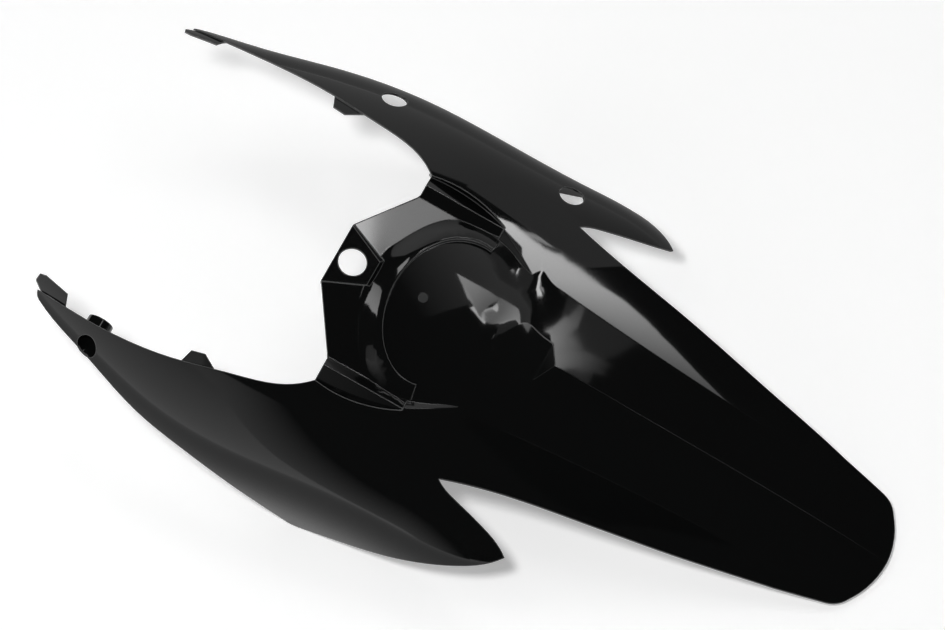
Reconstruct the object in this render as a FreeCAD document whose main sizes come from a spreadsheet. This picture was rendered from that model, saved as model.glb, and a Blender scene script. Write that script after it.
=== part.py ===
import FreeCAD
import Part
import math
import os
from FreeCAD import Vector

# One moulded rear fender with its two side panels, in millimetres.
# X runs rearward from the front of the two deck rails, Y to the rider's right, Z up.

doc = FreeCAD.newDocument("rear_fender_part")
sheet = doc.addObject("Spreadsheet::Sheet", "dimensions")

sizes = [
    ("wall", 2.6),
    ("front_reach", 274.0),
    ("fin_reach", 224.0),
    ("tail_reach", 526.0),
    ("shoulder_half_width", 231.0),
    ("panel_depth", 140.0),
    ("panel_tuck", 24.0),
    ("mould_base", 165.0),
    ("crease_half_width", 74.3),
    ("crease_tail_half_width", 44.0),
    ("crease_height", 13.5),
    ("ridge_height", 32.0),
    ("dish_height", 17.2),
    ("dish_rear", 120.0),
    ("dish_slope", 0.135),
    ("flange_height", 15.0),
    ("rail_foot_height", 3.2),
    ("rail_half_gap", 87.8),
    ("rail_peak_half_gap", 98.6),
    ("rail_peak_height", 10.2),
    ("rail_outer_half_gap", 112.5),
    ("rail_length", 82.0),
    ("ring_front", 17.5),
    ("ring_half_length", 54.0),
    ("ring_half_width", 74.0),
    ("ring_band", 24.0),
    ("ring_rise", 4.0),
    ("pad_reach", 41.5),
    ("pad_front_half_width", 30.6),
    ("pad_rear", 3.6),
    ("pad_rear_half_width", 12.6),
    ("pad_height", 8.6),
    ("pocket_front", 120.0),
    ("pocket_rear", 168.0),
    ("pocket_end", 180.0),
    ("pocket_front_height", 18.0),
    ("pocket_rear_height", 26.2),
    ("notch_apex", 137.5),
    ("notch_half_width", 137.9),
    ("tail_half_width", 56.0),
    ("tail_bulge", 19.0),
    ("tail_corner", 12.0),
    ("hole_setback", 25.0),
    ("front_hole", 26.0),
    ("side_hole", 24.0),
    ("side_hole_front", -67.0),
    ("side_hole_rear", 117.6),
    ("side_hole_front_half", 175.0),
    ("side_hole_rear_half", 166.0),
    ("boss_station", -197.0),
    ("boss_level", 71.0),
    ("boss_outer", 25.0),
    ("boss_recess", 20.0),
    ("boss_length", 27.0),
    ("bolt_hole", 6.6),
    ("tongue_rear", -230.0),
    ("tongue_tip", -265.0),
    ("tongue_reach", 9.0),
    ("tab_middle", -97.0),
    ("tab_length", 42.0),
    ("tab_reach", 11.0),
    ("rest_pitch", 16.0),
]
row = 1
for alias, value in sizes:
    sheet.set("A%d" % row, alias)
    sheet.set("B%d" % row, str(value))
    sheet.setAlias("B%d" % row, alias)
    row += 1
doc.recompute()


def size(alias):
    return float(sheet.get(alias))


wall = size("wall")


def along(x):
    # nominal station to the present lengths of panel, fin and tail
    if x < 0:
        return x * size("front_reach") / 274.0
    if x < 224:
        return x * size("fin_reach") / 224.0
    return size("fin_reach") + (x - 224) * (size("tail_reach") - size("fin_reach")) / 302.0


def station(alias):
    return along(size(alias))


def guide(stations, values):
    # natural cubic spline through a few named heights or widths
    x = stations
    n = len(x)
    h = [x[i + 1] - x[i] for i in range(n - 1)]
    low = [0.0] * n
    mid = [1.0] * n
    high = [0.0] * n
    rhs = [0.0] * n
    for i in range(1, n - 1):
        low[i] = h[i - 1]
        mid[i] = 2 * (h[i - 1] + h[i])
        high[i] = h[i]
        rhs[i] = 6 * ((values[i + 1] - values[i]) / h[i] - (values[i] - values[i - 1]) / h[i - 1])
    for i in range(1, n):
        f = low[i] / mid[i - 1]
        mid[i] -= f * high[i - 1]
        rhs[i] -= f * rhs[i - 1]
    bend = [0.0] * n
    for i in range(n - 2, 0, -1):
        bend[i] = (rhs[i] - high[i] * bend[i + 1]) / mid[i]

    def at(s):
        i = 0
        while i < n - 2 and s > x[i + 1]:
            i += 1
        a = (x[i + 1] - s) / h[i]
        b = (s - x[i]) / h[i]
        curve = ((a ** 3 - a) * bend[i] + (b ** 3 - b) * bend[i + 1]) * h[i] ** 2 / 6
        return a * values[i] + b * values[i + 1] + curve

    return at


def crease(x):
    share = (x - station("dish_rear")) / (size("tail_reach") - station("dish_rear"))
    return size("crease_half_width") + share * (size("crease_tail_half_width") - size("crease_half_width"))


stations = [along(v) for v in (-280, -200, -120, -40, 40, 120, 200, 280, 360, 450, 545)]
shoulder_share = (0.736, 0.866, 0.961, 1.0, 0.983, 0.978, 0.961, 0.80, 0.63, 0.52, 0.46)
shoulder_half = guide(stations, [v * size("shoulder_half_width") for v in shoulder_share])
shoulder_level = guide(stations, [-62, -58, -45, -26, -7, 4, 14, 14, 7, -1, -8])
rise = size("crease_height")
inner_level = guide(stations, [rise - v for v in (30, 34, 28, 11.5, 2.5, 0, 0.5, 1.8, 4, 7, 11)])
tuck_share = guide(stations, [0.85, 1, 1, 1, 0.95, 1, 1, 0.8, 0.5, 0.25, 0.1])


def inset_poles(poles, inset):
    # moves an open control polygon inward by the same amount along each leg
    legs = []
    for a, b in zip(poles, poles[1:]):
        d = (b - a).normalize()
        legs.append(Vector(0, d.z, -d.y))
    moved = []
    for i, p in enumerate(poles):
        if i == 0:
            n = legs[0]
        elif i == len(poles) - 1:
            n = legs[-1]
        else:
            n = legs[i - 1] + legs[i]
            n = n * (2.0 / n.dot(n))
        moved.append(p - n * inset * -1)
    return moved


def mirrored(points):
    return [Vector(p.x, -p.y, p.z) for p in points]


def bezier(points):
    curve = Part.BezierCurve()
    curve.setPoles(points)
    return curve.toShape()


def body_section(x, inset, place):
    inner = crease(x) - 10
    top = inner_level(x) - 0.5
    out = shoulder_half(x)
    level = shoulder_level(x)
    tuck = size("panel_tuck") * tuck_share(x)
    poles = [
        Vector(x, inner, top),
        Vector(x, inner + 0.35 * (out - inner), top + 0.36 * (level - top) + 0.025 * (out - inner)),
        Vector(x, out, level),
        Vector(x, out - tuck, level - 62),
        Vector(x, out - 1.4 * tuck, -size("mould_base")),
    ]
    poles = inset_poles(poles, inset)
    for p in poles:
        p.x = place
    poles[-1].z = -size("mould_base") - 2 * inset
    slope = (poles[1].z - poles[0].z) / (poles[1].y - poles[0].y)
    third = poles[0].y / 3
    rise_in = poles[0].z - slope * 2 * third
    left = mirrored(poles)
    edges = [
        bezier(left[::-1]),
        bezier([left[0], Vector(place, -third, rise_in), Vector(place, third, rise_in), poles[0]]),
        bezier(poles),
        Part.makeLine(poles[-1], left[-1]),
    ]
    return Part.Wire(edges)


def add_shape(name, shape):
    item = doc.addObject("Part::Feature", name)
    item.Shape = shape
    return item


def add_loft(name, wires, ruled=False):
    sections = []
    for i, wire in enumerate(wires):
        sections.append(add_shape("%s_section_%d" % (name, i), wire))
    loft = doc.addObject("Part::Loft", name)
    loft.Sections = sections
    loft.Solid = True
    loft.Ruled = ruled
    return loft


def body(name, inset):
    wires = []
    for i, x in enumerate(stations):
        place = x
        if inset and i == 0:
            place = x - 6
        if inset and i == len(stations) - 1:
            place = x + 6
        wires.append(body_section(x, inset, place))
    return add_loft(name, wires)


outer = body("body_outer", 0.0)
inner = body("body_inner", wall)


def add_cut(name, base, tool):
    cut = doc.addObject("Part::Cut", name)
    cut.Base = base
    cut.Tool = tool
    return cut


def add_fuse(name, items):
    fuse = doc.addObject("Part::MultiFuse", name)
    fuse.Shapes = items
    return fuse


def add_common(name, items):
    common = doc.addObject("Part::MultiCommon", name)
    common.Shapes = items
    return common


def add_prism(name, wire, direction, length):
    profile = add_shape(name + "_outline", wire)
    prism = doc.addObject("Part::Extrusion", name)
    prism.Base = profile
    prism.DirMode = "Custom"
    prism.Dir = direction
    prism.setExpression("LengthFwd", length)
    prism.Solid = True
    return prism


def closed(points):
    return Part.makePolygon(points + [points[0]])


def both_sides(x, right):
    # a section given from the centre line outward, closed across both sides
    points = [Vector(x, y, z) for y, z in right]
    return closed(points + [p for p in mirrored(points)[::-1] if abs(p.y) > 0.001])


def spline(points):
    curve = Part.BSplineCurve()
    curve.interpolate(Points=points)
    return curve.toShape()


def run_edge(run):
    # two points make a line, more make a spline
    if len(run) == 2:
        return Part.makeLine(run[0], run[1])
    return spline(run)


def outline(runs):
    return Part.Wire([run_edge(run) for run in runs])


# centre: dish in front, nose, then the roof with its ridge
ridge_v = (-20, 45, 99, 112, 120, 127, 134, 150, 168, 180, 240, 300, 360, 420, 480, 526, 545)
ridge_x = [along(v) for v in ridge_v]
ridge_run = [0, 0, 0, 0, 0.04, 0.22, 0.46, 0.73, 0.93, 1, 0.92, 0.78, 0.64, 0.38, -0.05, -0.52, -0.75]
ridge_share = guide(ridge_x, ridge_run)
fall_x = [along(v) for v in (-20, 50, 78, 99, 120)]
fall_share = guide(fall_x, [1.15, 1.15, 1.13, 0.9, 0.72])
reach_x = [along(v) for v in (-20, 60, 85, 110, 180, 360, 545)]
reach_half = guide(reach_x, [100, 100, 107, 104, 92, 80, 66])
sharp_x = [along(v) for v in (-20, 60, 100, 112, 124, 134, 160, 300, 545)]
sharp_share = guide(sharp_x, [0, 0, 0, 0.2, 0.75, 1, 1, 1, 1])


def spine_section(x, drop):
    centre = size("dish_height") + ridge_share(x) * (size("ridge_height") - size("dish_height"))
    fall = size("dish_slope") * fall_share(x)
    if x > station("dish_rear"):
        fall = (centre - inner_level(x)) / crease(x)
        share = crease(x) / reach_half(x)
        fall /= sharp_share(x) + (1 - sharp_share(x)) * share
    reach = reach_half(x)
    side = centre - fall * reach
    floor = -size("mould_base") - 2 * drop
    middle = centre - sharp_share(x) * fall * reach / 2
    right = [Vector(x, 0, centre), Vector(x, reach / 2, middle), Vector(x, reach, side)]
    right = [p - Vector(0, 0, drop) for p in right]
    left = mirrored(right)
    low = Vector(x, reach, floor)
    far = Vector(x, -reach, floor)
    edges = [bezier(left[::-1]), bezier(right), Part.makeLine(right[-1], low)]
    edges += [Part.makeLine(low, far), Part.makeLine(far, left[-1])]
    return Part.Wire(edges)


def spine(name, drop):
    first = along(-14)
    last = along(545)
    count = 40
    wires = []
    for i in range(count + 1):
        wires.append(spine_section(first + (last - first) * i / count, drop))
    return add_loft(name, wires)


def deck(name, drop):
    # sloping flange with a bead along each side
    floor = -size("mould_base") - 2 * drop
    foot = size("rail_half_gap")
    peak = size("rail_peak_half_gap")
    outline = [
        (0, size("flange_height") - drop),
        (foot, size("rail_foot_height") - drop),
        (peak, size("rail_peak_height") - 1.25 * drop),
        (size("rail_outer_half_gap") - 1, -1.5 - 1.1 * drop),
        (size("rail_outer_half_gap") + 9, -12 - drop),
        (size("rail_outer_half_gap") + 9, floor),
        (0, floor),
    ]
    start = -size("pad_reach") - 12 - drop
    wire = both_sides(start, outline)
    share = 1 if drop else 0
    length = "dimensions.rail_length + dimensions.pad_reach + 12 + %d * dimensions.wall" % share
    return add_prism(name, wire, Vector(1, 0, 0), length)


def gap_cutter(name, grow):
    # room between the two panel bands, with upright walls
    half = size("rail_outer_half_gap") + grow
    points = [
        Vector(along(40), half + 0.5, -200),
        Vector(along(60), half - 4.5, -200),
        Vector(along(79), half - 12.5, -200),
    ]
    curve = Part.BSplineCurve()
    curve.interpolate(Points=[Vector(0, half, -200)] + points)
    side = curve.toShape()
    front = Vector(-size("front_reach") - 40, half, -200)
    other = side.mirror(Vector(0, 0, 0), Vector(0, 1, 0))
    edges = [
        Part.makeLine(front, Vector(0, half, -200)),
        side,
        Part.makeLine(points[-1], mirrored(points)[-1]),
        other,
        Part.makeLine(Vector(0, -half, -200), mirrored([front])[0]),
        Part.makeLine(mirrored([front])[0], front),
    ]
    wire = Part.Wire(Part.__sortEdges__(edges))
    return add_prism(name, wire, Vector(0, 0, 1), "dimensions.mould_base + 135")


def wedge_cutter(name, grow):
    # sloping walls that run in to a point behind each rail
    start = size("rail_length") - 10
    end = station("dish_rear") + 6
    run = station("dish_rear") - size("rail_length") + 4
    lean = (size("rail_half_gap") - size("crease_half_width")) / run
    lift = (size("crease_height") - size("rail_foot_height") - 2) / run
    wires = []
    for x in (start, end):
        back = station("dish_rear") - x
        half = size("crease_half_width") + lean * back + 0.5 * grow
        level = size("crease_height") - lift * back - 0.9 * grow
        right = [(0, 60), (half + 2 * (60 - level), 60), (half - 6, level - 3)]
        right += [(half - 16, -200), (0, -200)]
        wires.append(both_sides(x, right))
    return add_loft(name, wires, True)


def pocket_cutter(name, drop):
    x0 = station("pocket_front")
    z0 = size("pocket_front_height") - drop
    z1 = size("pocket_rear_height") - drop
    points = [
        Vector(x0 - 2, -70, z0 - 2 * (z1 - z0) / (station("pocket_rear") - x0)),
        Vector(station("pocket_rear") + 0.4 * drop, -70, z1),
        Vector(station("pocket_end") + 0.4 * drop, -70, size("ridge_height") + 0.6 - drop),
        Vector(station("pocket_end") + 30, -70, 90),
        Vector(x0 - 2, -70, 90),
    ]
    return add_prism(name, closed(points), Vector(0, 1, 0), "140")


def pad_cutter(name, drop):
    front = -size("pad_reach") - 40
    rear = -size("pad_rear")
    level = size("pad_height") - drop
    grow = drop
    wide = size("pad_front_half_width")
    narrow = size("pad_rear_half_width")
    taper = (wide - narrow) / (size("pad_reach") - size("pad_rear"))
    bottom = []
    top = []
    for x, out, z, ring in ((front, 0, level, bottom), (front, 14, level + 30, top)):
        a = rear + grow + out
        ring.append(Vector(x, wide + taper * 40 + grow + out, z))
        ring.append(Vector(a, narrow - taper * (grow + out) + grow + out, z))
        ring.append(Vector(a, -narrow + taper * (grow + out) - grow - out, z))
        ring.append(Vector(x, -wide - taper * 40 - grow - out, z))
    return add_loft(name, [closed(bottom), closed(top)], True)


def ring_plug(name):
    # upright oval end of the dish, under the raised ring
    oval = doc.addObject("Part::Ellipse", name + "_oval")
    oval.setExpression("MajorRadius", "dimensions.ring_half_width + 0.25 * dimensions.ring_band")
    oval.setExpression("MinorRadius", "dimensions.ring_half_length + 0.25 * dimensions.ring_band")
    centre = Vector(size("ring_front") + size("ring_half_length"), 0, -200)
    oval.Placement = FreeCAD.Placement(centre, FreeCAD.Rotation(Vector(0, 0, 1), 90))
    plug = doc.addObject("Part::Extrusion", name)
    plug.Base = oval
    plug.DirMode = "Custom"
    plug.Dir = Vector(0, 0, 1)
    plug.setExpression("LengthFwd", "dimensions.mould_base + 135")
    plug.Solid = True
    return plug


def add_box(name, corner):
    box = doc.addObject("Part::Box", name)
    box.setExpression("Length", "dimensions.tail_reach + 60")
    box.Width = 320
    box.setExpression("Height", "dimensions.mould_base + 135")
    box.Placement.Base = corner
    return box


def island(kind, drop):
    # dish and roof, rounded off in front by the ring
    back = spine("spine_" + kind, drop)
    oval = ring_plug("plug_" + kind)
    centre = size("ring_front") + size("ring_half_length")
    rest = add_box("rest_" + kind, Vector(centre, -160, -200))
    keep = add_fuse("keep_" + kind, [oval, rest])
    return add_common("island_" + kind, [back, keep])


def dish_level(x, y):
    return size("dish_height") - size("dish_slope") * fall_share(x) * y * y / reach_half(x)


def flange_level(y):
    fall = (size("flange_height") - size("rail_foot_height")) / size("rail_half_gap")
    return size("flange_height") - fall * abs(y)


def collar_section(turn, drop):
    # step down to the dish inside, rolled slope down to the flange outside
    long = size("ring_half_length")
    wide = size("ring_half_width")
    band = size("ring_band")
    foot = Vector(size("ring_front") + long * (1 + math.cos(turn)), wide * math.sin(turn), 0)
    out = Vector(wide * math.cos(turn), long * math.sin(turn), 0).normalize()
    middle = foot + out * 0.62 * band
    end = foot + out * band
    inside = foot + out * drop
    top = dish_level(foot.x, foot.y) + size("ring_rise") - drop
    base = -size("mould_base") - 2 * drop
    roll = [
        inside + Vector(0, 0, top),
        foot + out * (0.32 * band + 0.5 * drop) + Vector(0, 0, top + 0.3),
        middle + Vector(0, 0, flange_level(middle.y) + 0.4 - 1.1 * drop),
        end + Vector(0, 0, flange_level(end.y) - 0.4 - 1.1 * drop),
    ]
    corners = [roll[-1], end + Vector(0, 0, base), inside + Vector(0, 0, base), roll[0]]
    if drop:
        # a plain slope under the skin
        return Part.makePolygon([roll[0]] + corners)
    return Part.Wire([bezier(roll)] + Part.makePolygon(corners).Edges)


def collar(kind, drop):
    # raised ring around the front of the dish
    half = math.radians(98)
    count = 8
    wires = []
    for k in range(count + 1):
        wires.append(collar_section(math.pi - half + 2 * half * k / count, drop))
    return add_loft("collar_" + kind, wires)


def master(kind, drop, skin):
    gap = gap_cutter("gap_" + kind, drop)
    wedge = wedge_cutter("wedge_" + kind, drop)
    sides = add_cut("sides_gap_" + kind, skin, gap)
    sides = add_cut("sides_" + kind, sides, wedge)
    back = island(kind, drop)
    plate = deck("deck_" + kind, drop)
    back = add_fuse("island_ring_" + kind, [back, collar(kind, drop)])
    whole = add_fuse("sides_and_island_" + kind, [sides, back])
    whole = add_fuse("with_deck_" + kind, [whole, plate])
    whole = add_cut("pocketed_" + kind, whole, pocket_cutter("pocket_" + kind, drop))
    return add_cut("master_" + kind, whole, pad_cutter("pad_" + kind, drop))


def across(runs):
    # a right-hand run list followed by its mirror image, ending where it began
    left = [mirrored(run)[::-1] for run in runs[::-1]]
    return runs + left


def flat(pairs, level):
    return [Vector(x, y, level) for x, y in pairs]


seat_stations = (-290, -238, -185, -127, -72, -21.6, -2)
seat_shares = (1.27, 1.322, 1.346, 1.322, 1.24, 1.125, 1.0)


def seat_cutter():
    # opening in front of the flange and between the seat edges of the panels
    reach = size("pad_reach")
    half = size("pad_front_half_width")
    foot = size("rail_half_gap")
    edge = size("rail_outer_half_gap")
    seat = [(along(v), edge * share) for v, share in zip(seat_stations[::-1], seat_shares[::-1])]
    far = -size("front_reach") - 40
    runs = [
        flat([(-reach, 0), (-reach, half)], -220),
        flat([(-reach, half), (-4, foot - 2)], -220),
        flat([(-4, foot - 2), (-2, foot + 2)], -220),
        flat([(-2, foot + 2), seat[0]], -220),
        flat(seat, -220),
        flat([seat[-1], (far, seat[-1][1])], -220),
        flat([(far, seat[-1][1]), (far, 0)], -220),
    ]
    wire = outline(across(runs))
    return add_prism("seat_cutter", wire, Vector(0, 0, 1), "dimensions.mould_base + 175")


def tail_cutter():
    # notch behind each fin, fender edges and tail
    apex = (station("notch_apex"), size("notch_half_width"))
    half = size("tail_half_width")
    end = size("tail_reach")
    corner = size("tail_corner")
    side = [apex]
    for share, wide in ((0.096, 0.878), (0.332, 0.665), (0.56, 0.46), (0.806, 0.217)):
        x = apex[0] + share * (end - size("tail_bulge") - apex[0])
        side.append((x, half + wide * (apex[1] - half)))
    side.append((end - size("tail_bulge") - corner, half + 0.036 * (apex[1] - half)))
    turn = [side[-1], (end - size("tail_bulge") - 0.15 * corner, half - 0.2 * corner)]
    turn.append((end - size("tail_bulge") + 0.4 * corner, half - 0.9 * corner))
    fin = [apex]
    for v, out in ((0.105, 5.1), (0.295, 10.1), (0.592, 16.9), (0.86, 24.1), (1.0, 30.1)):
        fin.append((apex[0] + v * (size("fin_reach") - apex[0]), apex[1] + out))
    tip = (size("fin_reach") + 16, apex[1] + 42)
    far = end + 80
    runs = [
        flat([(far, 0), (far, 320)], -220),
        flat([(far, 320), (tip[0], 320)], -220),
        flat([(tip[0], 320), tip], -220),
        flat([tip, fin[-1]], -220),
        flat(fin[::-1], -220),
        flat(side, -220),
        flat(turn, -220),
    ]
    left = [mirrored(run)[::-1] for run in runs[::-1]]
    bend = Vector(turn[-1][0], turn[-1][1], -220)
    bow = Part.Arc(bend, Vector(end, 0, -220), mirrored([bend])[0])
    edges = [run_edge(run) for run in runs] + [bow.toShape()] + [run_edge(run) for run in left]
    wire = Part.Wire(edges)
    return add_prism("tail_cutter", wire, Vector(0, 0, 1), "dimensions.mould_base + 175")


def hem_cutter(side):
    # lower edge of one panel, seen from the side
    deep = size("panel_depth")
    y = side * 121
    front = [(-246, 0.24), (-255, 0.325), (-260, 0.39), (-260, 0.44), (-254, 0.482)]
    low = [(-254, 0.482), (-234, 0.524), (-188, 0.577), (-154, 0.612), (-120, 0.625), (-85, 0.62)]
    low += [(-45, 0.66), (0, 0.805), (34, 0.958)]
    corner = [(34, 0.958), (43, 0.985), (52, 0.955)]
    rear = [(52, 0.955), (77, 0.836), (119, 0.607), (155, 0.381), (193, 0.193), (214, 0.107), (226, 0.04)]
    runs = []
    for run in (front, low, corner, rear):
        runs.append([Vector(along(x), y, -share * deep) for x, share in run])
    last = runs[-1][-1]
    first = runs[0][0]
    away = last.x + 30
    base = -size("mould_base") - 60
    far = first.x - 60
    ends = [
        last,
        Vector(away, y, last.z + 14),
        Vector(away, y, base),
        Vector(far, y, base),
        Vector(far, y, first.z + 20),
        Vector(first.x, y, first.z + 20),
        first,
    ]
    for a, b in zip(ends, ends[1:]):
        runs.append([a, b])
    name = "hem_cutter_%d" % (1 + side)
    return add_prism(name, outline(runs), Vector(0, side, 0), "dimensions.shoulder_half_width")


def seat_half(x):
    # half width of the seat edge at a station along the panel
    edge = size("rail_outer_half_gap")
    run = guide([along(v) for v in seat_stations], [edge * v for v in seat_shares])
    return run(x)


def tabs(side):
    # a tongue in front and a locating tab behind it, both from under one seat edge
    top = body("tab_top_%d" % (1 + side), 0.7 * wall)
    low = body("tab_low_%d" % (1 + side), 1.8 * wall)
    layer = add_cut("tab_layer_%d" % (1 + side), top, low)
    half = size("tab_length") / 2
    reach = size("tab_reach")
    x = station("tab_middle")
    tab = [(x - half, -7), (x - 0.7 * half, reach), (x - 0.1 * half, reach), (x + half, -7)]
    rear = station("tongue_rear")
    tip = station("tongue_tip")
    out = size("tongue_reach")
    tongue = [(rear + 5, -7), (rear, 0), (rear - 4, out), (tip + 6, 1.25 * out), (tip, 1.1 * out)]
    tongue += [(tip - 1, 0.6 * out), (tip + 8, 0.1 * out), (tip + 24, -7)]
    shapes = []
    for name, corners in (("tab", tab), ("tongue", tongue)):
        points = [Vector(v, side * (seat_half(v) - inset), -80) for v, inset in corners]
        prism = add_prism("%s_prism_%d" % (name, 1 + side), closed(points), Vector(0, 0, 1), "100")
        shapes.append(add_common("%s_%d" % (name, 1 + side), [layer, prism]))
    return shapes


def skin_frame(x, level=None, half=None):
    # point and outward direction on the right-hand skin at a station, by height or by half width
    edge = body_section(x, 0.0, x).Edges[2]
    best = None
    for k in range(401):
        t = edge.FirstParameter + (edge.LastParameter - edge.FirstParameter) * k / 400
        point = edge.valueAt(t)
        miss = abs(point.z - level) if level is not None else abs(point.y - half)
        if best is None or miss < best[0]:
            tangent = edge.tangentAt(t)
            best = (miss, point, Vector(0, -tangent.z, tangent.y))
    point = best[1]
    out = best[2]
    if out.y < 0:
        out = out * -1
    return point, out


def add_rod(name, diameter, length, start, direction):
    rod = doc.addObject("Part::Cylinder", name)
    rod.setExpression("Radius", "dimensions.%s / 2" % diameter)
    rod.setExpression("Height", length)
    rod.Placement = FreeCAD.Placement(start, FreeCAD.Rotation(Vector(0, 0, 1), direction))
    return rod


cavity = master("outer", 0.0, outer)
core = master("inner", wall, inner)
shell = add_cut("shell", cavity, core)
trimmed = add_cut("seat_trimmed", shell, seat_cutter())
trimmed = add_cut("tail_trimmed", trimmed, tail_cutter())
hems = [hem_cutter(1), hem_cutter(-1)]
trimmed = add_cut("right_trimmed", trimmed, hems[0])
trimmed = add_cut("left_trimmed", trimmed, hems[1])

point, out = skin_frame(station("boss_station"), level=-size("boss_level"))
start = Vector(point.x, -point.y, point.z)
inward = Vector(0, 1, 0)
boss_rod = add_rod("boss_rod", "boss_outer", "dimensions.boss_length + 10", start - inward * 10, inward)
boss = add_common("boss", [boss_rod, body("boss_limit", 0.5 * wall)])
recess = add_rod("recess", "boss_recess", "dimensions.boss_length + 6", start - inward * 10, inward)
bolt = add_rod("bolt", "bolt_hole", "dimensions.boss_length + 30", start - inward * 10, inward)
solid_parts = [trimmed, boss] + tabs(1) + tabs(-1)
joined = add_fuse("skin_with_tabs", solid_parts)
holes = [recess, bolt]
for name in ("front", "rear"):
    x = station("side_hole_" + name)
    point, out = skin_frame(x, half=size("side_hole_%s_half" % name))
    holes.append(add_rod("side_hole_%s_rod" % name, "side_hole", "40", point + out * 20, out * -1))
pad = Vector(-size("hole_setback"), 0, size("pad_height") - 20)
holes.append(add_rod("front_hole_rod", "front_hole", "40", pad, Vector(0, 0, 1)))
drill = doc.addObject("Part::Compound", "drills")
drill.Links = holes
drilled = add_cut("drilled", joined, drill)
doc.recompute()

fender = doc.addObject("Part::Feature", "rear_fender")
fender.Shape = drilled.Shape.Solids[0]
turn = FreeCAD.Rotation(Vector(0, 1, 0), size("rest_pitch"))
fender.Placement = FreeCAD.Placement(Vector(0, 0, 0), turn)
points = fender.Shape.tessellate(0.3)[0]
middle = (min(p.x for p in points) + max(p.x for p in points)) / 2
lowest = min(p.z for p in points)
fender.Placement = FreeCAD.Placement(Vector(-middle, 0, -lowest), turn)
doc.recompute()
for item in doc.Objects:
    if "Invalid" in item.State or "Error" in item.State:
        raise RuntimeError(item.Name + " did not build")
    if hasattr(item, "Shape") and (item.Shape.isNull() or not item.Shape.isValid()):
        raise RuntimeError(item.Name + " has no sound shape")
os.makedirs("parts", exist_ok=True)
fender.Shape.exportStep("parts/rear_fender.step")
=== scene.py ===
import bpy
import bmesh
import math
import numpy
from mathutils import Matrix, Vector


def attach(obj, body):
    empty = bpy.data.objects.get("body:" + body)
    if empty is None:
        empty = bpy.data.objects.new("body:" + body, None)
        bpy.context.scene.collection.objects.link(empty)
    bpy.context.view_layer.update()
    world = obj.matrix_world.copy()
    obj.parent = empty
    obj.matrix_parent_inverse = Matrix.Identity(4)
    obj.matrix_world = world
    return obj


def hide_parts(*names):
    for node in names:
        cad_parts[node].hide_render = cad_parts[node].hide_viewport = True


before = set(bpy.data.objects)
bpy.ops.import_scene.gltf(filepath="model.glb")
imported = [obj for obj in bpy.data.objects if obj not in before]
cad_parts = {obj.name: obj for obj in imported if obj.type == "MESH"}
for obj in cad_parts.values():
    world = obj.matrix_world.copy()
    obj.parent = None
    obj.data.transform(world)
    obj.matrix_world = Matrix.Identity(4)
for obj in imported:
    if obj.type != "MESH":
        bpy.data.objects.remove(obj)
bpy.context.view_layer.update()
scene = bpy.context.scene
scene.view_settings.view_transform = "Standard"
print("frame loaded", list(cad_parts))


def link(tree, fromSocket, toSocket):
    tree.links.new(fromSocket, toSocket)


# gloss black moulded plastic, its edges rounded as a mould leaves them, with a painted highlight along
# the edges and a dull gate mark on the dish
plasticLook = {"colour": (0.0032, 0.0034, 0.0034, 1.0), "roughness": 0.055, "ior": 1.5,
               "edgeRadius": 0.0016, "edgeSamples": 8}
gateLook = {"place": (-0.0692, 0.0, 0.1486), "radius": 0.0052, "core": 0.8,
            "colour": (0.03, 0.031, 0.031, 1.0), "roughness": 0.4, "height": 0.0006}
# painted highlight along the edges: its colour, and the turns where it starts and where it is full
paintedEdgeHighlight = {"colour": (0.085, 0.086, 0.086, 1.0), "flat": 0.995, "sharp": 0.88}  # turns as cosines


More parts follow.
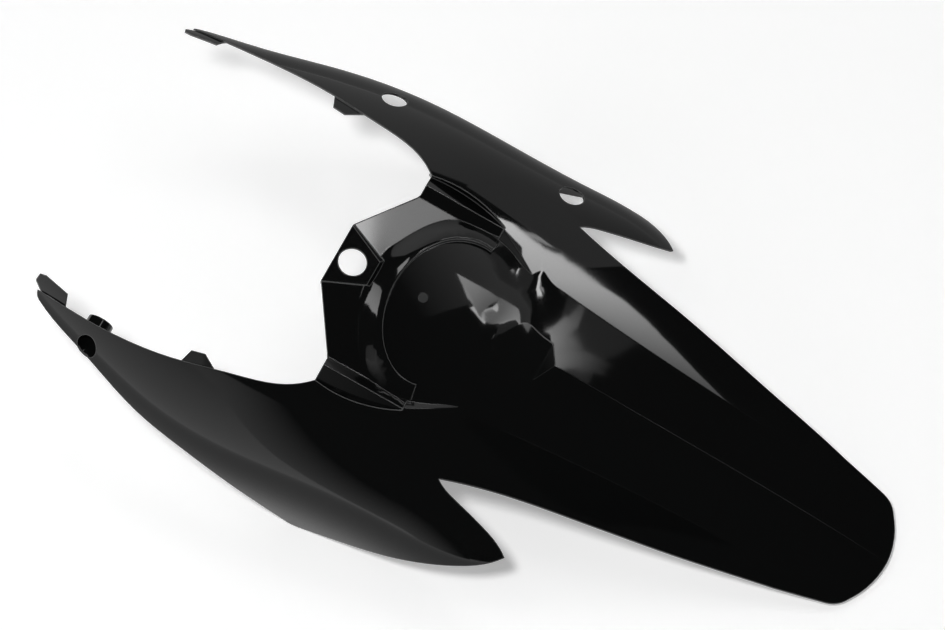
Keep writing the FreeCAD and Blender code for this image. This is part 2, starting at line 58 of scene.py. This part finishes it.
def blackPlastic(name, look, gate, edge):
    mat = bpy.data.materials.new(name)
    mat.use_nodes = True
    tree = mat.node_tree
    shader = tree.nodes["Principled BSDF"]
    shader.inputs["IOR"].default_value = look["ior"]
    rounded = tree.nodes.new("ShaderNodeBevel")
    rounded.samples = look["edgeSamples"]
    rounded.inputs["Radius"].default_value = look["edgeRadius"]

    # gate mark: a disc around its place on the dish
    coords = tree.nodes.new("ShaderNodeTexCoord")
    reach = tree.nodes.new("ShaderNodeVectorMath")
    reach.operation = "DISTANCE"
    reach.inputs[1].default_value = gate["place"]
    link(tree, coords.outputs["Object"], reach.inputs[0])
    disc = tree.nodes.new("ShaderNodeMapRange")
    disc.inputs["From Min"].default_value = gate["radius"]
    disc.inputs["From Max"].default_value = gate["radius"] * gate["core"]
    link(tree, reach.outputs["Value"], disc.inputs["Value"])
    colour = tree.nodes.new("ShaderNodeMix")
    colour.data_type = "RGBA"
    colour.inputs["A"].default_value = look["colour"]
    colour.inputs["B"].default_value = gate["colour"]
    link(tree, disc.outputs["Result"], colour.inputs["Factor"])

    # painted highlight along the edges: a paler rim where the rounded normal turns away from the face's
    # own
    surface = tree.nodes.new("ShaderNodeNewGeometry")
    turned = tree.nodes.new("ShaderNodeVectorMath")
    turned.operation = "DOT_PRODUCT"
    link(tree, rounded.outputs["Normal"], turned.inputs[0])
    link(tree, surface.outputs["Normal"], turned.inputs[1])
    rim = tree.nodes.new("ShaderNodeMapRange")
    rim.inputs["From Min"].default_value = edge["flat"]
    rim.inputs["From Max"].default_value = edge["sharp"]
    link(tree, turned.outputs["Value"], rim.inputs["Value"])
    pale = tree.nodes.new("ShaderNodeMix")
    pale.data_type = "RGBA"
    pale.inputs["B"].default_value = edge["colour"]
    link(tree, rim.outputs["Result"], pale.inputs["Factor"])
    link(tree, colour.outputs["Result"], pale.inputs["A"])
    link(tree, pale.outputs["Result"], shader.inputs["Base Color"])

    # the gate mark is duller and stands up a little
    rough = tree.nodes.new("ShaderNodeMapRange")
    rough.inputs["To Min"].default_value = look["roughness"]
    rough.inputs["To Max"].default_value = gate["roughness"]
    link(tree, disc.outputs["Result"], rough.inputs["Value"])
    link(tree, rough.outputs["Result"], shader.inputs["Roughness"])
    raised = tree.nodes.new("ShaderNodeBump")
    raised.inputs["Distance"].default_value = gate["height"]
    link(tree, disc.outputs["Result"], raised.inputs["Height"])
    link(tree, rounded.outputs["Normal"], raised.inputs["Normal"])
    link(tree, raised.outputs["Normal"], shader.inputs["Normal"])
    return mat


plastic = blackPlastic("glossBlackPlastic", plasticLook, gateLook, paintedEdgeHighlight)
print("plastic ready")

# the moulded skin: a merged copy of the solid that keeps the creases between its faces, angles in degrees
skinSet = {"merge": 0.00002, "creaseAngle": 1.5, "edgeAngle": 30.0, "rings": 2, "fewest": 9,
           "farthest": 7.0, "nearShare": 0.15, "cutOff": 1e-3}


def smoothFan(vert, face):
    # faces around a corner that are reached without crossing a crease
    fan = {face}
    queue = [face]
    while queue:
        for edge in queue.pop().edges:
            if edge.smooth and vert in edge.verts:
                for other in edge.link_faces:
                    if other not in fan:
                        fan.add(other)
                        queue.append(other)
    return fan


def grown(faces, rings):
    # the faces and their neighbours, ring by ring, up to the creases
    grownFaces = set(faces)
    for ring in range(rings):
        for face in list(grownFaces):
            for edge in face.edges:
                if edge.smooth:
                    grownFaces.update(edge.link_faces)
    return grownFaces


def fittedNormal(vert, fan, look):
    # normal of a curved patch laid through the points near a corner
    normal = sum((face.normal * face.calc_area() for face in fan), Vector()).normalized()
    points = {v for face in grown(fan, look["rings"]) for v in face.verts} - {vert}
    if len(points) < look["fewest"]:
        return normal
    side = normal.orthogonal().normalized()
    ahead = normal.cross(side)
    away = numpy.array([v.co - vert.co for v in points])
    x, y, z = (away @ numpy.array(axis) for axis in (side, ahead, normal))
    span = numpy.sqrt((x * x + y * y).max())
    x, y, z = x / span, y / span, z / span
    weight = 1.0 / (look["nearShare"] + numpy.sqrt(x * x + y * y))
    table = numpy.stack([x * x, x * y, y * y, x, y], 1) * weight[:, None]
    bends = numpy.linalg.lstsq(table, z * weight, rcond=look["cutOff"])[0]
    fitted = (normal - side * float(bends[3]) - ahead * float(bends[4])).normalized()
    return fitted if math.degrees(fitted.angle(normal)) < look["farthest"] else normal


def mouldedSkin(node, look):
    copy = bpy.data.objects.new("fenderSkin", node.data.copy())
    scene.collection.objects.link(copy)
    bm = bmesh.new()
    bm.from_mesh(copy.data)
    border = bm.edges.layers.int.new("border")  # marks the borders of the solid's faces before they merge
    for edge in bm.edges:
        edge[border] = 1 if edge.is_boundary else 0
    bmesh.ops.remove_doubles(bm, verts=bm.verts, dist=look["merge"])
    bmesh.ops.dissolve_degenerate(bm, dist=look["merge"], edges=bm.edges)
    bm.normal_update()
    for face in bm.faces:
        face.smooth = True
    for edge in bm.edges:
        angle = math.degrees(edge.calc_face_angle(0.0))
        edge.smooth = angle < (look["creaseAngle"] if edge[border] else look["edgeAngle"])
    bm.faces.index_update()
    bm.verts.index_update()
    normals = {}
    for vert in bm.verts:
        for face in vert.link_faces:
            if (face.index, vert.index) not in normals:
                fan = smoothFan(vert, face)
                normal = fittedNormal(vert, fan, look)
                for member in fan:
                    normals[member.index, vert.index] = normal
    print("open edges", sum(1 for e in bm.edges if not e.is_manifold), "faces", len(bm.faces))
    bm.to_mesh(copy.data)
    bm.free()
    corners = []
    for face in copy.data.polygons:
        corners += [normals[face.index, v] for v in face.vertices]
    copy.data.normals_split_custom_set(corners)
    return copy


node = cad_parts["rear_fender"]
skin = mouldedSkin(node, skinSet)
skin.data.materials.clear()
skin.data.materials.append(plastic)
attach(skin, "root")
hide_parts("rear_fender")
print("skin ready", len(skin.data.polygons))

# pale floor that keeps the shadow, a hair below the part, lifted a little where it is looked at
floorSet = {"half": 9.0, "drop": 0.0004, "colour": (0.86, 0.86, 0.86, 1.0), "roughness": 1.0,
            "specular": 0.0, "glow": (1.0, 1.0, 1.0, 1.0), "lift": 0.34}


def larger(tree, first, second):
    most = tree.nodes.new("ShaderNodeMath")
    most.operation = "MAXIMUM"
    link(tree, first, most.inputs[0])
    link(tree, second, most.inputs[1])
    return most.outputs[0]


def paleFloor(look):
    mesh = bpy.data.meshes.new("floor")
    bm = bmesh.new()
    bmesh.ops.create_grid(bm, x_segments=1, y_segments=1, size=look["half"])
    bmesh.ops.translate(bm, verts=bm.verts, vec=(0.0, 0.0, -look["drop"]))
    bm.to_mesh(mesh)
    bm.free()
    floor = bpy.data.objects.new("floor", mesh)
    scene.collection.objects.link(floor)
    mat = bpy.data.materials.new("paleFloor")
    mat.use_nodes = True
    tree = mat.node_tree
    shader = tree.nodes["Principled BSDF"]
    shader.inputs["Base Color"].default_value = look["colour"]
    shader.inputs["Roughness"].default_value = look["roughness"]
    shader.inputs["Specular IOR Level"].default_value = look["specular"]
    path = tree.nodes.new("ShaderNodeLightPath")
    seen = larger(tree, path.outputs["Is Camera Ray"], path.outputs["Is Glossy Ray"])
    seen = larger(tree, seen, path.outputs["Is Transmission Ray"])
    gain = tree.nodes.new("ShaderNodeMath")
    gain.operation = "MULTIPLY"
    gain.inputs[1].default_value = look["lift"]
    link(tree, seen, gain.inputs[0])
    link(tree, gain.outputs[0], shader.inputs["Emission Strength"])
    shader.inputs["Emission Color"].default_value = look["glow"]
    mesh.materials.append(mat)
    return floor


floor = paleFloor(floorSet)
print("floor ready")

# dim even world, the cards below give most of the light in the gloss
worldSet = {"colour": (1.0, 1.0, 1.0, 1.0), "strength": 0.02}
world = bpy.data.worlds.new("studio")
scene.world = world
world.use_nodes = True
background = world.node_tree.nodes["Background"]
background.inputs["Color"].default_value = worldSet["colour"]
background.inputs["Strength"].default_value = worldSet["strength"]

aim = Vector((-0.0282, 0.0134, 0.1241))  # the point that the camera, the lamp and the cards face


def around(azimuth, elevation, distance):
    a = math.radians(azimuth)
    e = math.radians(elevation)
    return aim + distance * Vector((math.cos(e) * math.cos(a), math.cos(e) * math.sin(a), math.sin(e)))


def fadeGroup(name):
    # grey level that runs along a card's own UV map, from Start to End
    group = bpy.data.node_groups.new(name, "ShaderNodeTree")
    group.interface.new_socket(name="Start", in_out="INPUT", socket_type="NodeSocketFloat")
    group.interface.new_socket(name="End", in_out="INPUT", socket_type="NodeSocketFloat")
    group.interface.new_socket(name="Glow", in_out="OUTPUT", socket_type="NodeSocketColor")
    levels = group.nodes.new("NodeGroupInput")
    result = group.nodes.new("NodeGroupOutput")
    uv = group.nodes.new("ShaderNodeUVMap")
    uv.uv_map = "card"
    parts = group.nodes.new("ShaderNodeSeparateXYZ")
    link(group, uv.outputs["UV"], parts.inputs["Vector"])
    fade = group.nodes.new("ShaderNodeMapRange")
    link(group, parts.outputs["X"], fade.inputs["Value"])
    link(group, levels.outputs["Start"], fade.inputs["To Min"])
    link(group, levels.outputs["End"], fade.inputs["To Max"])
    link(group, fade.outputs["Result"], result.inputs["Glow"])
    return group


cardFade = fadeGroup("cardFade")


def glowLook(name, look):
    # even glow, or one that runs from fadeTo at the first corner to radiance at the second
    mat = bpy.data.materials.new(name)
    mat.use_nodes = True
    tree = mat.node_tree
    tree.nodes.remove(tree.nodes["Principled BSDF"])
    fade = tree.nodes.new("ShaderNodeGroup")
    fade.node_tree = cardFade
    fade.inputs["Start"].default_value = look.get("fadeTo", look["radiance"])
    fade.inputs["End"].default_value = look["radiance"]
    glow = tree.nodes.new("ShaderNodeEmission")
    link(tree, fade.outputs["Glow"], glow.inputs["Color"])
    link(tree, glow.outputs["Emission"], tree.nodes["Material Output"].inputs["Surface"])
    return mat


def squareCorners(look):
    # corners of a card square to the line from the part, given across and up in metres
    middle = around(look["azimuth"], look["elevation"], look["distance"])
    away = (middle - aim).normalized()
    side = Vector((0.0, 0.0, 1.0)).cross(away).normalized()
    top = away.cross(side)
    return [middle + side * across + top * up for across, up in look["corners"]]


def lightCard(name, look):
    # a card of light that the camera doesn't see
    mesh = bpy.data.meshes.new(name)
    bm = bmesh.new()
    uvLayer = bm.loops.layers.uv.new("card")
    places = look["points"] if "points" in look else squareCorners(look)
    face = bm.faces.new([bm.verts.new(place) for place in places])
    for loop, place in zip(face.loops, ((0, 0), (1, 0), (1, 1), (0, 1))):
        loop[uvLayer].uv = place
    bm.to_mesh(mesh)
    bm.free()
    mesh.materials.append(glowLook(name, look))
    card = bpy.data.objects.new(name, mesh)
    scene.collection.objects.link(card)
    card.visible_camera = False
    return card


def glossCard(name, look):
    # a card for the gloss alone, which hides what lies behind it there
    card = lightCard(name, look)
    card.visible_shadow = False
    card.visible_diffuse = False
    return card


def plainCard(wide, high):
    return [(-wide / 2, -high / 2), (wide / 2, -high / 2), (wide / 2, high / 2), (-wide / 2, high / 2)]


# a bent strip over the rear right with smaller cards beside it, a card in front,
# a wide one to the right and two to the left
rearRight = {"azimuth": 68, "elevation": 58, "distance": 3.0}
lightCards = {
    "stripRear": {**rearRight, "radiance": 8.2, "fadeTo": 0.9,
                  "corners": [(-0.95, 0.20), (-0.25, 0.055), (-0.25, 0.34), (-0.95, 0.72)]},
    "stripFront": {**rearRight, "radiance": 12.2, "fadeTo": 8.2,
                   "corners": [(-0.25, 0.055), (0.33, -0.37), (0.42, -0.24), (-0.25, 0.34)]},
    "flangeCard": {**rearRight, "radiance": 4.2,
                   "corners": [(0.13, -0.42), (0.24, -0.42), (0.24, -0.29), (0.13, -0.26)]},
    "roofStrip": {**rearRight, "radiance": 4.6, "fadeTo": 0.25,
                  "corners": [(0.08, -1.35), (0.74, -0.72), (0.60, -0.66), (0.05, -1.24)]},
    "noseCard": {**rearRight, "radiance": 4.2,
                 "corners": [(0.30, 0.20), (1.30, 0.05), (1.30, 0.55), (0.33, 0.55)]},
    "frontCard": {"azimuth": 178, "elevation": 64, "distance": 3.0, "radiance": 4.4, "fadeTo": 2.6,
                  "corners": plainCard(0.75, 0.45)},
    "leftEdge": {"radiance": 0.6, "fadeTo": 0.0,
                 "points": [(0.35, -1.57, 0.0), (-0.10, -1.57, 0.0),
                            (-0.68, -0.86, 1.87), (-0.23, -0.86, 1.87)]},
    "leftCard": {"radiance": 1.2, "fadeTo": 0.35,
                 "points": [(-0.68, -0.86, 1.87), (-0.10, -1.57, 0.0),
                            (-2.30, -1.57, 0.0), (-2.88, -0.86, 1.87)]},
    "rightCard": {"azimuth": 98, "elevation": 20, "distance": 3.0, "radiance": 0.68, "fadeTo": 0.28,
                  "corners": plainCard(2.6, 2.6)},
}
for name, look in lightCards.items():
    lightCard(name, look)
print("light cards ready", len(lightCards))

# small cards near the part and two just over the floor: the flags and floors hold a stretch
# of the reflection down, and noseGlow brightens one
nearBy = {**rearRight, "distance": 0.15}
floorHigh = 0.002
glossCards = {
    "nearFlag": {**rearRight, "distance": 0.35, "radiance": 0.0,
                 "corners": [(-0.42, -0.045), (-0.115, -0.012), (-0.115, 0.14), (-0.42, 0.14)]},
    "dishFlag": {**nearBy, "radiance": 0.55, "fadeTo": 0.02,
                 "corners": [(-0.008, 0.085), (-0.010, -0.034), (0.068, -0.064), (0.078, 0.05)]},
    "pocketFlag": {**nearBy, "distance": 0.148, "radiance": 0.02,
                   "corners": [(-0.06, 0.0165), (-0.004, 0.0165), (-0.004, 0.09), (-0.06, 0.09)]},
    "tipFlag": {**nearBy, "radiance": 0.3,
                "corners": [(-0.010, -0.034), (0.020, -0.061), (0.068, -0.064), (0.030, -0.045)]},
    "noseGlow": {**nearBy, "distance": 0.149, "radiance": 5.2, "fadeTo": 2.0,
                 "corners": [(-0.024, 0.014), (0.004, 0.009), (0.036, -0.009), (-0.012, -0.023)]},
    "panelFlag": {**nearBy, "radiance": 0.42,
                  "corners": [(-0.05, -0.16), (0.12, -0.16), (0.12, -0.074), (-0.03, -0.099)]},
    "leftFloor": {"radiance": 1.0, "fadeTo": 0.42,
                  "points": [(0.4, -0.15, floorHigh), (0.4, -1.6, floorHigh),
                             (-2.4, -1.6, floorHigh), (-2.4, -0.15, floorHigh)]},
    "rightFloor": {"radiance": 0.6, "fadeTo": 0.26,
                   "points": [(-0.9, 0.15, floorHigh), (-0.9, 3.4, floorHigh),
                              (0.9, 3.4, floorHigh), (0.9, 0.15, floorHigh)]},
}
for name, look in glossCards.items():
    glossCard(name, look)
print("gloss cards ready", len(glossCards))

# camera at the photograph's angle
cameraSet = {"distance": 5.0, "frameWidth": 0.8505, "sensor": 36.0, "farEnd": 50.0,
             "toward": (0.2591, -0.3420, 0.9036), "upward": (-0.3899, 0.8185, 0.4217)}
camData = bpy.data.cameras.new("camera")
camera = bpy.data.objects.new("camera", camData)
scene.collection.objects.link(camera)
toward = Vector(cameraSet["toward"]).normalized()
sideways = Vector(cameraSet["upward"]).normalized().cross(toward).normalized()
upward = toward.cross(sideways)
turn = Matrix((sideways, upward, toward)).transposed().to_4x4()
camera.matrix_world = Matrix.Translation(aim + toward * cameraSet["distance"]) @ turn
camData.sensor_width = cameraSet["sensor"]
camData.lens = cameraSet["sensor"] * cameraSet["distance"] / cameraSet["frameWidth"]
camData.clip_end = cameraSet["farEnd"]
scene.camera = camera
print("camera ready")

# shadow lamp beside the camera, not seen in the gloss
shadowLamp = {"left": 0.15, "up": 0.13, "distance": 4.0, "size": 0.55, "power": 85.0}
lampData = bpy.data.lights.new("shadowLamp", "AREA")
lampData.shape = "DISK"
lampData.size = shadowLamp["size"]
lampData.energy = shadowLamp["power"]
lamp = bpy.data.objects.new("shadowLamp", lampData)
scene.collection.objects.link(lamp)
lampWay = (toward - sideways * shadowLamp["left"] + upward * shadowLamp["up"]).normalized()
lamp.location = aim + lampWay * shadowLamp["distance"]
lamp.rotation_euler = lampWay.to_track_quat("Z", "Y").to_euler()
lamp.visible_camera = False
lamp.visible_glossy = False
print("shadow lamp ready")
